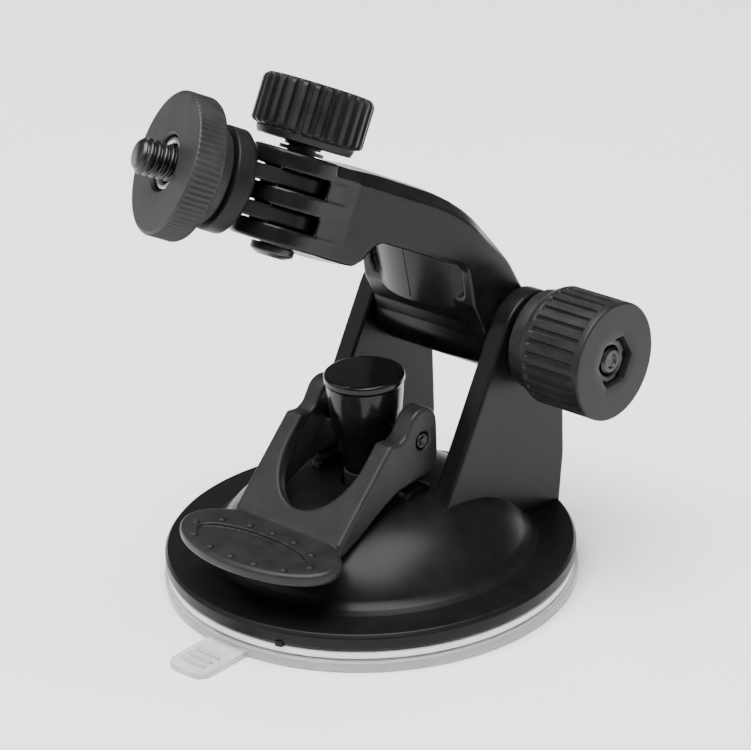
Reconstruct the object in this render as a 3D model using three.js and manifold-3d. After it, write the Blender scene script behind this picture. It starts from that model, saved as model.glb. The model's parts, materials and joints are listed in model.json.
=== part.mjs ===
// Suction-cup windscreen mount for a dash camera, in millimetres, +Z up.
// Origin: the cup's axis at the underside of the protective cover. The lever side faces -Y
// and the yoke's clamping knob is on +X.
import * as THREE from 'three';
import { mergeVertices } from 'three/addons/utils/BufferGeometryUtils.js';
import Module from 'manifold-3d';

const wasm = await Module();
wasm.setup();

// ---------- driving dimensions ----------
const GAP = 0.3; // running and assembly clearance between neighbouring pieces
const DEG = Math.PI / 180;

const cover = { radius: 37.8, top: 1.95, tabHalf: 4.5, tabEnd: 48.8, tabTop: 1.1, ribs: [42.6, 44.45, 46.3] };
const pad = { radius: 37.2, low: cover.top + GAP, rim: 1.45, crown: 2.7, centre: 9.5, seat: 30 };
const cup = {
  radius: 37.5, low: 4.0, top: 7.07, footRadius: 30.2,
  arc: { r: 10.14, z: -2.52, radius: 21.25 }, wall: 2.2, stemHole: 4.9,
  nub: { angle: -73, width: 2.0, depth: 0.7, drop: 1.2 },
};
const yoke = {
  inner: 13.8, outer: 17.7, top: 8.5, back: 34.4, backFoot: 33.0, backRise: 16.0, frontFoot: -4.9, frontSlope: 0.62,
};
const camRest = { inner: 9.3, outer: 11.6, front: -3.2, back: 4.4, top: 21.0 };
const pivot = { y: 26.05, z: 42.25, bolt: 2.5, head: 6.2, washer: 7.0 };
const knob = {
  radius: 10.85, collar: 9.2, near: 21.9, face: 36.2, shoulder: 2.0, band: 1.3, flutes: 30, fluteRadius: 0.42,
  hexFlats: 8.4, hexDepth: 2.6,
};
const post = {
  bottom: 21.8, waist: 4.35, flareStart: 25.5, cup: 6.3, cupZ: 33.0, lip: 7.2, lipLow: 38.5, top: 39.8, bore: 2.9,
};
const stem = {
  disc: 9.0, discLow: 6.85, discTop: 8.9, shaft: 4.3, shaftTop: 21.2, neck: 2.6, neckTop: 26.4,
};
const spring = { radius: 6.1, wire: 0.45, low: 9.7, high: 15.8, turns: 4 };
const lever = {
  half: 12.75, earInner: 9.0, pinY: 0.9, pinZ: 29.5, pin: 1.4,
  foldY: -21.65, foldZ: 17.6, slope: 43.9, slopeLength: 19.9, skin: 2.6,
  earY: 1.3, earZ: 31.9, earRadius: 3.75,
  slotHalf: 8.9, slotLength: 11.7, slotCentre: 15.5,
  padHalf: 17.7, padDepth: 9.0, padY: -28.4, padLow: 15.1, padTop: 17.6,
};
const arm = {
  tilt: 28.5, reach: 55.3, hub: 8.0, hubHalf: 13.35, forkHalf: 8.0, forkRoot: 47.2,
  low: 3.0, top: 18.8, rim: 17.05, notchTop: 8.35, wall: 2.2, roof: 14.6,
  drumRadius: 18.0, drumLean: 39,
};
// three fingers and two slots fill low..top; each slot ends in a round pocket behind thin side walls
const fork = { finger: 3.1, slot: 3.25, bolt: 2.45, hole: 2.8, pocket: 7.3, wallEnd: 54.7 };
const forkKnob = {
  radius: 9.8, low: 21.9, top: 30.8, collar: 8.2, collarLow: 20.5, neck: 3.2, flutes: 22, fluteRadius: 0.85,
};
const forkWasher = { radius: 3.9, low: 19.05, top: 19.65 };
const forkHead = { radius: 3.8, low: 0.7, top: 2.7 };
const adapter = {
  pan: 24.5, finger: 2.65, half: 5.8, disc: 9.1, discBack: 10.2, discFront: 14.2, chamfer: 0.9,
};
const wheel = { radius: 12.5, back: 17.6, face: 23.3, boss: 8.2, bossBack: 14.5, bore: 4.9, knurls: 54 };
const screw = { radius: 3.175, root: 2.55, pitch: 1.27, tip: 28.4, tail: 10.6 }; // 1/4"-20 UNC
const insert = { radius: 4.6, bore: 3.5, back: 18.5, face: 22.7 };

// ---------- materials ----------
function look(color, roughness, metalness = 0) {
  return new THREE.MeshStandardMaterial({ color, roughness, metalness });
}
const LOOKS = {
  clear: look(0xe8ebee, 0.25),
  gloss: look(0x0b0b0c, 0.12),
  satin: look(0x1c1c1e, 0.45),
  knob: look(0x1f1f21, 0.5),
  wheel: look(0x3a3a3c, 0.5),
  steel: look(0x9a9da1, 0.3, 1),
  blackSteel: look(0x232326, 0.32, 1),
};

// ---------- solids: closed three.js geometry, joined and cut ----------
function solid(geometry) {
  const bare = geometry.index ? geometry.toNonIndexed() : geometry.clone();
  bare.deleteAttribute('normal');
  bare.deleteAttribute('uv');
  const merged = mergeVertices(bare, 1e-5);
  const index = merged.index.array;
  const place = merged.attributes.position.array;
  const corners = [];
  let volume = 0;
  const point = (i) => new THREE.Vector3().fromArray(place, 3 * i);
  for (let i = 0; i < index.length; i += 3) {
    const [a, b, c] = [index[i], index[i + 1], index[i + 2]];
    if (a === b || b === c || c === a) continue;
    corners.push(a, b, c);
    volume += point(a).dot(point(b).cross(point(c)));
  }
  if (volume < 0) corners.reverse();
  return new wasm.Manifold(new wasm.Mesh({
    numProp: 3, vertProperties: new Float32Array(place), triVerts: new Uint32Array(corners),
  }));
}
const join = (first, ...rest) => rest.reduce((sum, next) => sum.add(next), first);
const cut = (first, ...rest) => rest.reduce((sum, next) => sum.subtract(next), first);

function named(name, material, body) {
  const mesh = body.getMesh();
  const geometry = new THREE.BufferGeometry();
  geometry.setAttribute('position', new THREE.BufferAttribute(mesh.vertProperties, 3));
  geometry.setIndex(new THREE.BufferAttribute(mesh.triVerts, 1));
  geometry.computeVertexNormals();
  const result = new THREE.Mesh(geometry, material);
  result.name = name;
  return result;
}

const vec = (a, b) => new THREE.Vector2(a, b);
const pairs = (list) => list.map(([a, b]) => vec(a, b));

/** Points of a circular arc from angle a0 to a1 in degrees. */
function arc(cx, cy, radius, a0, a1, steps) {
  return Array.from({ length: steps + 1 }, (_, i) => {
    const angle = (a0 + ((a1 - a0) * i) / steps) * DEG;
    return vec(cx + radius * Math.cos(angle), cy + radius * Math.sin(angle));
  });
}

/** A (y, z) outline extruded along X. */
function slabX(outline, x0, x1) {
  const shape = new THREE.Shape(outline);
  const geometry = new THREE.ExtrudeGeometry(shape, { depth: x1 - x0, bevelEnabled: false });
  const basis = new THREE.Matrix4().makeBasis(
    new THREE.Vector3(0, 1, 0), new THREE.Vector3(0, 0, 1), new THREE.Vector3(1, 0, 0),
  );
  geometry.applyMatrix4(basis);
  geometry.translate(x0, 0, 0);
  return solid(geometry);
}

/** An (x, y) outline extruded along Z. */
function slabZ(outline, z0, z1) {
  const shape = new THREE.Shape(outline);
  const geometry = new THREE.ExtrudeGeometry(shape, { depth: z1 - z0, bevelEnabled: false });
  geometry.translate(0, 0, z0);
  return solid(geometry);
}

/** A profile of [radius, height] turned about Z. It closes on itself, or starts and ends on the axis. */
function turned(profile, segments = 48) {
  const points = profile.map((p) => (Array.isArray(p) ? vec(p[0], p[1]) : p));
  const onAxis = points[0].x === 0 && points[points.length - 1].x === 0;
  if (!onAxis) points.push(points[0].clone());
  const geometry = new THREE.LatheGeometry(points, segments);
  geometry.rotateX(90 * DEG);
  return solid(geometry);
}

function rod(radius, z0, z1, segments = 32) {
  return turned([[0, z0], [radius, z0], [radius, z1], [0, z1]], segments);
}

/** A solid turned about Z, laid along X with its height axis towards +X. */
const alongX = (body, y = 0, z = 0) => body.rotate([0, 90, 0]).translate([0, y, z]);
/** A solid turned about Z, laid along -Y with its height axis forward. */
const alongForward = (body, z = 0) => body.rotate([90, 0, 0]).translate([0, 0, z]);

/** A round outline of the given radius with narrow grooves around it, extruded along Z. */
function fluted(radius, flutes, fluteRadius, z0, z1) {
  const outline = [];
  const step = 360 / flutes;
  const half = (Math.asin(fluteRadius / radius) / DEG);
  for (let i = 0; i < flutes; i += 1) {
    const middle = i * step;
    const [cx, cy] = [radius * Math.cos(middle * DEG), radius * Math.sin(middle * DEG)];
    outline.push(...arc(cx, cy, fluteRadius, middle - 95, middle - 265, 3));
    const from = middle + half * 1.15;
    const to = middle + step - half * 1.15;
    outline.push(...arc(0, 0, radius, from, to, 1));
  }
  return slabZ(outline, z0, z1);
}

const hexPrism = (flats, z0, z1) => slabZ(arc(0, 0, flats / Math.sqrt(3), 0, 300, 5), z0, z1);

// ---------- base: cover, pad, cup with yoke ----------
function makeCover() {
  const disc = turned([
    [0, 0], [cover.radius - 0.4, 0], [cover.radius, 0.4], [cover.radius, cover.top - 0.3],
    [cover.radius - 0.3, cover.top], [0, cover.top],
  ], 72);
  const inside = -cover.radius + 3;
  const corner = 2.2;
  const tab = slabZ([
    vec(cover.tabHalf, inside),
    vec(-cover.tabHalf, inside),
    ...arc(-cover.tabHalf + corner, -cover.tabEnd + corner, corner, 180, 270, 5),
    ...arc(cover.tabHalf - corner, -cover.tabEnd + corner, corner, 270, 360, 5),
  ], 0, cover.tabTop);
  const ribHalf = cover.tabHalf - 1.6;
  const ribs = cover.ribs.map((y) => slabZ(
    pairs([[-ribHalf, -y - 0.3], [ribHalf, -y - 0.3], [ribHalf, -y + 0.3], [-ribHalf, -y + 0.3]]),
    cover.tabTop - 0.3, cover.tabTop + 0.4,
  ));
  return join(disc, tab, ...ribs);
}

function makePad() {
  const rimTop = pad.low + pad.rim;
  return turned([
    [0, pad.low + pad.crown], [pad.centre, pad.low + pad.crown], [pad.seat, pad.low],
    [pad.radius - 0.3, pad.low],
    [pad.radius, pad.low + 0.3], [pad.radius, rimTop - 0.3], [pad.radius - 0.3, rimTop], [pad.seat, rimTop],
    [pad.centre, rimTop + pad.crown], [0, rimTop + pad.crown],
  ], 56);
}

/** The dome's arc from its flat top down to height z, on a shell offset inwards by inset. */
function domeArc(inset, z, steps) {
  const radius = cup.arc.radius - inset;
  const foot = Math.asin((z - cup.arc.z) / radius) / DEG;
  return arc(cup.arc.r, cup.arc.z, radius, foot, 90, steps);
}

function makeCup() {
  const flangeStep = 0.45;
  const outside = turned([
    [0, cup.low], [cup.radius - flangeStep, cup.low], [cup.radius, cup.low + flangeStep],
    [cup.radius, cup.top - flangeStep], [cup.radius - flangeStep, cup.top], [cup.footRadius, cup.top],
    [cup.footRadius - 0.7, cup.top + 0.45],
    ...domeArc(0, cup.top + 1.3, 7), [0, cup.arc.z + cup.arc.radius],
  ], 64);
  const hollow = turned([
    [0, cup.low - 1], [27.9, cup.low - 1], ...domeArc(cup.wall, cup.low + 0.4, 4),
    [0, cup.arc.z + cup.arc.radius - cup.wall],
  ], 48);
  const footZ = cup.low + 1.5;
  const lineAt = (z) => yoke.frontFoot + yoke.frontSlope * (z - cup.top);
  const lineAngle = 90 - Math.atan(yoke.frontSlope) / DEG;
  const side = [
    vec(lineAt(footZ), footZ), vec(yoke.backFoot, footZ), vec(yoke.back, yoke.backRise), vec(yoke.back, pivot.z - 4),
    ...arc(pivot.y, pivot.z, yoke.top, -8, lineAngle + 90, 14),
  ];
  const plates = [slabX(side, yoke.inner, yoke.outer), slabX(side, -yoke.outer, -yoke.inner)];
  const rests = [1, -1].map((sign) => {
    const [near, far] = sign > 0 ? [camRest.inner, camRest.outer] : [-camRest.outer, -camRest.inner];
    const foot = cup.top + 4;
    return slabX(pairs([
      [camRest.front - 1, foot], [camRest.back + 1, foot], [camRest.back, camRest.top], [camRest.front, camRest.top],
    ]), near, far);
  });
  const nubLow = cup.low - cup.nub.drop + 0.9;
  const nub = slabZ(pairs([
    [cup.radius - 1.2, -cup.nub.width / 2], [cup.radius + cup.nub.depth, -cup.nub.width / 2],
    [cup.radius + cup.nub.depth, cup.nub.width / 2], [cup.radius - 1.2, cup.nub.width / 2],
  ]), nubLow, cup.low + 1.4).rotate([0, 0, cup.nub.angle]);
  const boltRod = rod(pivot.bolt + GAP, -yoke.outer - 2, yoke.outer + 2, 24);
  const boltHoles = alongX(boltRod, pivot.y, pivot.z);
  const stemHole = rod(cup.stemHole, 0, 30, 32);
  return cut(join(outside, ...plates, ...rests, nub), hollow, stemHole, boltHoles);
}

// ---------- centre stem, release post and lever ----------
function makeStem() {
  return turned([
    [0, stem.discLow], [stem.disc - 0.3, stem.discLow], [stem.disc, stem.discLow + 0.3],
    [stem.disc, stem.discTop], [stem.shaft, stem.discTop], [stem.shaft, stem.shaftTop],
    [stem.neck, stem.shaftTop], [stem.neck, stem.neckTop], [0, stem.neckTop],
  ], 40);
}

function makePost() {
  const outside = turned([
    [0, post.bottom], [post.waist - 0.3, post.bottom], [post.waist, post.bottom + 0.3],
    [post.waist, post.flareStart], [post.cup, post.cupZ], [post.lip - 0.25, post.lipLow - 0.4],
    [post.lip, post.lipLow], [post.lip, post.top - 0.5], [post.lip - 0.55, post.top], [0, post.top],
  ], 40);
  const bore = rod(post.bore, post.bottom - 1, stem.neckTop + GAP, 32);
  const pinHole = alongX(rod(lever.pin + GAP, -10, 10, 20), lever.pinY, lever.pinZ);
  return cut(outside, bore, pinHole);
}

function makeSpring() {
  class Coil extends THREE.Curve {
    getPoint(t) {
      const turn = t * spring.turns * 2 * Math.PI;
      const height = spring.low + t * (spring.high - spring.low);
      return new THREE.Vector3(spring.radius * Math.cos(turn), spring.radius * Math.sin(turn), height);
    }
  }
  const section = new THREE.Shape(arc(0, 0, spring.wire, 0, 288, 4));
  return solid(new THREE.ExtrudeGeometry(section, {
    steps: spring.turns * 13, extrudePath: new Coil(), bevelEnabled: false,
  }));
}

function makeLever() {
  const rise = lever.slope * DEG;
  const along = (s, inward = 0) => vec(
    lever.foldY + s * Math.cos(rise) + inward * Math.sin(rise),
    lever.foldZ + s * Math.sin(rise) - inward * Math.cos(rise),
  );
  const side = [
    along(0), along(lever.slopeLength), vec(-4.9, 31.25), vec(-3.5, 31.9),
    ...arc(lever.earY, lever.earZ, lever.earRadius, 160, 0, 12),
    vec(5.05, 24.4), vec(4.6, 23.2), vec(3.4, 22.35), vec(-3.0, 22.1), vec(-6.1, 21.7), vec(-9.6, 20.3),
    vec(-16.3, 16.8), vec(-20.4, lever.padLow), vec(-22.0, lever.padLow),
  ];
  const blank = slabX(side, -lever.half, lever.half);
  const inside = along(3.6, lever.skin);
  const hollow = slabX([
    vec(inside.x, inside.y), along(lever.slopeLength + 6, lever.skin), vec(12, 42), vec(12, 5),
    vec(inside.x, 5),
  ], -lever.earInner, lever.earInner);
  const { slotHalf, slotCentre, slotLength } = lever;
  const mouth = [
    ...arc(0, 0, 1, 180, 360, 20).map((p) => vec(p.x * slotHalf, slotCentre + p.y * slotLength)),
    vec(slotHalf, slotCentre + 14), vec(-slotHalf, slotCentre + 14),
  ];
  const slotTool = slabZ(mouth, -6, 6).rotate([lever.slope, 0, 0]).translate([0, lever.foldY, lever.foldZ]);
  const oval = (inset, z0, z1) => slabZ(
    arc(0, 0, 1, 0, 354, 59).map((p) => vec(
      p.x * (lever.padHalf - inset), lever.padY + p.y * (lever.padDepth - inset),
    )), z0, z1,
  );
  const thumb = join(
    oval(0, lever.padLow + 0.5, lever.padTop - 0.5), oval(0.5, lever.padLow, lever.padTop),
  );
  const pinHole = alongX(rod(lever.pin + GAP, -20, 20, 24), lever.pinY, lever.pinZ);
  const clearance = 0.7;
  const domeRoom = turned([
    [0, 5], [29.5, 5], ...domeArc(-clearance, 8, 12), [0, cup.arc.z + cup.arc.radius + clearance],
  ], 64);
  return cut(join(cut(blank, hollow, slotTool), thumb), pinHole, domeRoom);
}

function makePin() {
  return alongX(rod(lever.pin, -lever.half + 0.1, lever.half - 0.1, 24), lever.pinY, lever.pinZ);
}

// ---------- arm, in its own frame: forward -Y, up along the fork's axis, origin at the pivot ----------
const front = (list) => list.map(([d, e]) => vec(-d, e));
const slotLow = [arm.low + fork.finger, arm.low + 2 * fork.finger + fork.slot];

function makeArm() {
  const taper = (arm.hubHalf - arm.forkHalf) / (arm.forkRoot - 17);
  const plan = (inset, nose) => [
    vec(arm.hubHalf - inset, 10), vec(arm.hubHalf - inset, -17), vec(arm.forkHalf - inset, -arm.forkRoot),
    vec(arm.forkHalf - inset, -nose), ...arc(0, -nose, arm.forkHalf - inset, -15, -165, 14),
    vec(-arm.forkHalf + inset, -nose), vec(-arm.forkHalf + inset, -arm.forkRoot),
    vec(-arm.hubHalf + inset, -17), vec(-arm.hubHalf + inset, 10),
  ];
  const topLine = front([
    [66, arm.top], [29, arm.top], [25, 18.35], [21.5, 17.6], [18.3, 16.7], [14.7, 15.2], [10.8, 13.15],
    [7.0, 10.9], [3.8, 8.9],
  ]);
  const hubBack = arc(0, 0, arm.hub, 100, -121, 20);
  const side = [
    ...topLine, ...hubBack,
    ...front([[9.2, -1.2], [13.3, 1.8], [18.1, arm.notchTop], [38.6, arm.notchTop], [40.4, 7.0], [41.9, 4.3],
      [43.6, arm.low], [66, arm.low]]),
  ];
  const shell = slabX(side, -arm.hubHalf - 1, arm.hubHalf + 1).intersect(slabZ(plan(0, arm.reach), -12, 22));
  // the long edges of the top are bevelled down to the rim line, along the taper of the side walls
  const [drop, width, over] = [arm.top - arm.rim, 1.9, 2];
  const edge = slabX(pairs([
    [0, arm.rim], [-3, arm.rim], [-3, arm.top + over], [width * (1 + over / drop), arm.top + over],
  ]), -34, 5).rotate([0, 0, 90]);
  const bevel = edge.rotate([0, 0, -Math.atan(taper) / DEG]).translate([arm.hubHalf, -17, 0]);
  const hollow = slabX(front([[45.2, -6], [45.2, arm.roof], [14, arm.roof], [14, -6]]), -20, 20)
    .intersect(slabZ(plan(arm.wall, arm.reach), -12, 22));
  // the drum: a convex front wall of the hub, leaning with the yoke
  const lean = arm.drumLean * DEG;
  const nose = { d: 16.8, e: 2.6 };
  const centre = { d: nose.d - arm.drumRadius * Math.cos(lean), e: nose.e + arm.drumRadius * Math.sin(lean) };
  const drum = rod(arm.drumRadius, -30, 30, 72).rotate([arm.drumLean, 0, 0])
    .translate([0, -centre.d, centre.e]);
  const drumBlock = slabX(front([
    [6.9, 3.6], [14.75, -0.55], [23, 9.5], [23, arm.roof + 1], [2, arm.roof + 1], [0, 6],
  ]), -arm.hubHalf, arm.hubHalf).intersect(slabX([...topLine, ...hubBack, ...front([[66, -8]])], -14, 14));
  const barrel = alongX(rod(arm.hub, -arm.hubHalf, arm.hubHalf, 48));
  const slots = slotLow.map((low) => join(
    slabZ(pairs([[-12, -fork.wallEnd], [12, -fork.wallEnd], [12, -70], [-12, -70]]), low, low + fork.slot),
    rod(fork.pocket, low, low + fork.slot, 48).translate([0, -arm.reach, 0]),
  ));
  const boltHole = alongX(rod(pivot.bolt + GAP, -20, 20, 24));
  const forkHole = rod(fork.hole, -5, 25, 24).translate([0, -arm.reach, 0]);
  const walls = cut(shell, hollow, bevel, bevel.mirror([1, 0, 0]));
  return cut(join(walls, drumBlock.intersect(drum), barrel), ...slots, boltHole, forkHole);
}

function makeForkKnob() {
  const { radius, flutes, fluteRadius, low, top } = forkKnob;
  const ribbed = fluted(radius, flutes, fluteRadius, low, top);
  const trim = turned([
    [0, low - 0.1], [radius - 0.8, low - 0.1], [radius + 0.1, low + 0.8],
    [radius + 0.1, top - 1.0], [radius - 1.0, top + 0.1], [0, top + 0.1],
  ], 44);
  const collar = turned([
    [0, arm.top + 1.15], [forkKnob.neck, arm.top + 1.15], [forkKnob.neck, forkKnob.collarLow],
    [forkKnob.collar, forkKnob.collarLow], [radius - 1, low + 0.2], [0, low + 0.2],
  ], 48);
  const pocket = hexPrism(knob.hexFlats, top - knob.hexDepth, top + 1);
  return cut(join(ribbed.intersect(trim), collar), pocket, rod(fork.bolt + GAP, 15, 35, 24));
}

function makeForkBolt() {
  return turned([
    [0, forkHead.low + 0.45], [forkHead.radius * 0.55, forkHead.low], [forkHead.radius, forkHead.low + 0.7],
    [forkHead.radius, forkHead.top], [fork.bolt, forkHead.top], [fork.bolt, forkKnob.top - 0.9],
    [fork.bolt - 0.4, forkKnob.top - 0.5], [0, forkKnob.top - 0.5],
  ], 32);
}

function nutAt(low, high) {
  return cut(hexPrism(knob.hexFlats - 2 * GAP, low, high), rod(fork.bolt + GAP, low - 1, high + 1, 24));
}

// ---------- adapter, in its own frame: forward is -Y, origin on the fork's axis ----------
function makeAdapter() {
  const outline = [
    ...arc(0, 0, adapter.half, 0, 180, 16), vec(-adapter.half, -adapter.discBack - 1),
    vec(adapter.half, -adapter.discBack - 1),
  ];
  const inset = (fork.slot - adapter.finger) / 2;
  const fingers = slotLow.map((low) => slabZ(outline, low + inset, low + inset + adapter.finger));
  const middle = (arm.low + arm.top) / 2;
  const disc = alongForward(turned([
    [0, adapter.discBack], [adapter.disc - adapter.chamfer, adapter.discBack],
    [adapter.disc, adapter.discBack + adapter.chamfer], [adapter.disc, adapter.discFront - 0.4],
    [adapter.disc - 0.4, adapter.discFront], [0, adapter.discFront],
  ], 44), middle);
  const hole = rod(fork.hole, -5, 30, 24);
  const bore = alongForward(rod(screw.radius + GAP, screw.tail - GAP, 20, 32), middle);
  return cut(join(disc, ...fingers), hole, bore);
}

function makeScrew() {
  const profile = [[0, screw.tail], [screw.root, screw.tail]];
  const turns = Math.floor((screw.tip - screw.tail - 1) / screw.pitch);
  for (let i = 0; i < turns; i += 1) {
    const z = screw.tail + 0.4 + i * screw.pitch;
    profile.push([screw.root, z]);
    profile.push([screw.radius, z + screw.pitch * 0.42], [screw.radius, z + screw.pitch * 0.56]);
  }
  profile.push([screw.root, screw.tip - 0.8], [screw.root - 0.6, screw.tip], [0, screw.tip]);
  return alongForward(turned(profile, 16), (arm.low + arm.top) / 2);
}

function makeWheel() {
  const rim = fluted(wheel.radius, wheel.knurls, 0.22, wheel.back, wheel.face);
  const trim = turned([
    [0, wheel.back - 0.1], [wheel.radius - 0.9, wheel.back - 0.1], [wheel.radius + 0.1, wheel.back + 0.9],
    [wheel.radius + 0.1, wheel.face - 0.4], [wheel.radius - 0.4, wheel.face + 0.1], [0, wheel.face + 0.1],
  ], 54);
  const boss = turned([
    [0, wheel.bossBack], [wheel.boss, wheel.bossBack], [wheel.boss + 0.5, wheel.back + 0.3],
    [0, wheel.back + 0.3],
  ], 48);
  const bore = join(
    rod(wheel.bore, insert.back - GAP, wheel.face + 1, 32),
    rod(screw.radius + GAP, wheel.bossBack - 1, wheel.face, 32),
  );
  return alongForward(cut(join(rim.intersect(trim), boss), bore), (arm.low + arm.top) / 2);
}

const makeInsert = () => alongForward(turned([
  [insert.bore, insert.back], [insert.radius, insert.back], [insert.radius, insert.face - 0.3],
  [insert.radius - 0.3, insert.face], [insert.bore + 0.3, insert.face], [insert.bore, insert.face - 0.3],
], 40), (arm.low + arm.top) / 2);

// ---------- tilt clamp: bolt, washer, knob, nut, laid along X through the yoke ----------
function makeTiltKnob() {
  const [low, high] = [knob.near + knob.shoulder, knob.face - knob.band];
  const ribbed = fluted(knob.radius, knob.flutes, knob.fluteRadius, low, high);
  const bands = turned([
    [0, knob.near], [knob.radius - knob.shoulder, knob.near], [knob.radius - 0.55, knob.near + 0.75],
    [knob.radius, low], [knob.radius, low + 0.6], [knob.radius - 1, low + 0.6], [knob.radius - 1, high],
    [knob.radius, high], [knob.radius, knob.face - 0.4], [knob.radius - 0.4, knob.face],
    [0, knob.face],
  ], 45);
  const collar = rod(knob.collar, yoke.outer + 1.6, knob.near + 0.5, 48);
  const pocket = hexPrism(knob.hexFlats, knob.face - knob.hexDepth, knob.face + 1);
  const body = cut(join(ribbed, bands, collar), pocket, rod(pivot.bolt + GAP, 10, 40, 24));
  return alongX(body, pivot.y, pivot.z);
}

function makeTiltBolt() {
  const headFace = -yoke.outer - GAP;
  return alongX(turned([
    [0, headFace - 2.6], [pivot.head * 0.6, headFace - 2.2], [pivot.head - 0.2, headFace - 1.0],
    [pivot.head, headFace - 0.6], [pivot.head, headFace], [pivot.bolt, headFace], [pivot.bolt, knob.face - 1.1],
    [pivot.bolt - 0.4, knob.face - 0.7], [0, knob.face - 0.7],
  ], 32), pivot.y, pivot.z);
}

const makeWasher = () => alongX(turned([
  [pivot.bolt + GAP, yoke.outer + GAP], [pivot.washer, yoke.outer + GAP], [pivot.washer, yoke.outer + 1.3],
  [pivot.bolt + GAP, yoke.outer + 1.3],
], 40), pivot.y, pivot.z);

const makeForkWasher = () => turned([
  [fork.hole, forkWasher.low], [forkWasher.radius, forkWasher.low], [forkWasher.radius, forkWasher.top],
  [fork.hole, forkWasher.top],
], 32);

// ---------- assembly ----------
const tiltNut = nutAt(knob.face - knob.hexDepth + GAP, knob.face - 1.2);
const forkNut = nutAt(forkKnob.top - knob.hexDepth + GAP, forkKnob.top - 1.2);

const mount = new THREE.Group();
mount.add(
  named('protective_cover', LOOKS.clear, makeCover()),
  named('suction_pad', LOOKS.clear, makePad()),
  named('cup_base', LOOKS.gloss, makeCup()),
  named('return_spring', LOOKS.steel, makeSpring()),
  named('stem_insert', LOOKS.satin, makeStem()),
  named('release_post', LOOKS.gloss, makePost()),
  named('lever_pin', LOOKS.blackSteel, makePin()),
  named('release_lever', LOOKS.satin, makeLever()),
  named('tilt_bolt', LOOKS.blackSteel, makeTiltBolt()),
  named('tilt_washer', LOOKS.blackSteel, makeWasher()),
  named('tilt_knob', LOOKS.knob, makeTiltKnob()),
  named('tilt_knob_nut', LOOKS.blackSteel, alongX(tiltNut, pivot.y, pivot.z)),
);

const armGroup = new THREE.Group();
armGroup.position.set(0, pivot.y, pivot.z);
armGroup.rotation.x = -arm.tilt * DEG;
mount.add(armGroup);

const atFork = new THREE.Group();
atFork.position.set(0, -arm.reach, 0);
armGroup.add(
  named('arm', LOOKS.gloss, makeArm()),
  atFork,
);
atFork.add(
  named('fork_bolt', LOOKS.blackSteel, makeForkBolt()),
  named('fork_washer', LOOKS.blackSteel, makeForkWasher()),
  named('fork_knob', LOOKS.knob, makeForkKnob()),
  named('fork_knob_nut', LOOKS.blackSteel, forkNut),
);

const adapterGroup = new THREE.Group();
adapterGroup.rotation.z = -adapter.pan * DEG;
adapterGroup.add(
  named('camera_adapter', LOOKS.satin, makeAdapter()),
  named('camera_screw', LOOKS.blackSteel, makeScrew()),
  named('lock_wheel', LOOKS.wheel, makeWheel()),
  named('wheel_insert', LOOKS.steel, makeInsert()),
);
atFork.add(adapterGroup);

export default mount;
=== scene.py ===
"""Looks for a suction-cup windscreen mount for a dash camera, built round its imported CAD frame.

Every piece is worked out in millimetres and placed in the row frame. Turned and fluted pieces are
lofted from rings. Moulded pieces are signed distances, meshed on a grid and pulled onto the surface.
The arm's frame has X across, -Y forward and Z along the fork's axis. The adapter's is that, panned.
"""

import json
import math

import bpy
import numpy as np
from mathutils import Matrix, Vector


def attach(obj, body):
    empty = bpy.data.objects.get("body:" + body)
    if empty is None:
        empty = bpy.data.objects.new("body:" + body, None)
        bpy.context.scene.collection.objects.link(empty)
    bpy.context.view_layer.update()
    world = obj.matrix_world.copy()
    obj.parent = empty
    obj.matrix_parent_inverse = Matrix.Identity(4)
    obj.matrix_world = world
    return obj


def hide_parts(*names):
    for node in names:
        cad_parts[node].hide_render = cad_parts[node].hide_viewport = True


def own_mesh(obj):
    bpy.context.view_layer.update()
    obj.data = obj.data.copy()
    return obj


MM = 0.001

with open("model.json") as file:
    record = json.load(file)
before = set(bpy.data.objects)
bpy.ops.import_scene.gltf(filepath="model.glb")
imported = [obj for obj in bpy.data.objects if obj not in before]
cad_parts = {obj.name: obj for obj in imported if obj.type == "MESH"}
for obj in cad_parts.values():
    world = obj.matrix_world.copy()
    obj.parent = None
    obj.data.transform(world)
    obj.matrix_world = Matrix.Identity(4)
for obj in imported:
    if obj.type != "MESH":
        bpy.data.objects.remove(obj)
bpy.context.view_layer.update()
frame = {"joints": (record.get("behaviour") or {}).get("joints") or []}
joints = {joint["name"]: joint for joint in frame["joints"]}


# ---------- places taken from the frame ----------
def point_of(joint):
    return Vector(joints[joint]["pos_m"]) / MM


def axis_of(joint):
    return Vector(joints[joint]["axis"]).normalized()


def placed(origin, forward, up):
    """A frame at origin whose -Y is forward and whose Z is up."""
    across = forward.cross(up)
    turn = Matrix((across, -forward, up)).transposed()
    return Matrix.Translation(origin) @ turn.to_4x4()


ACROSS = Vector((1, 0, 0))
FORK_AXIS = axis_of("adapter_pan")
ARM_FORWARD = FORK_AXIS.cross(ACROSS) * -1
ROW = Matrix.Identity(4)
ARM = placed(point_of("arm_tilt"), ARM_FORWARD, FORK_AXIS)
ADAPTER = placed(point_of("adapter_pan"), axis_of("lock_wheel_turn"), FORK_AXIS)
PIVOT = point_of("arm_tilt")
REACH = (point_of("adapter_pan") - PIVOT).dot(ARM_FORWARD)

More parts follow.
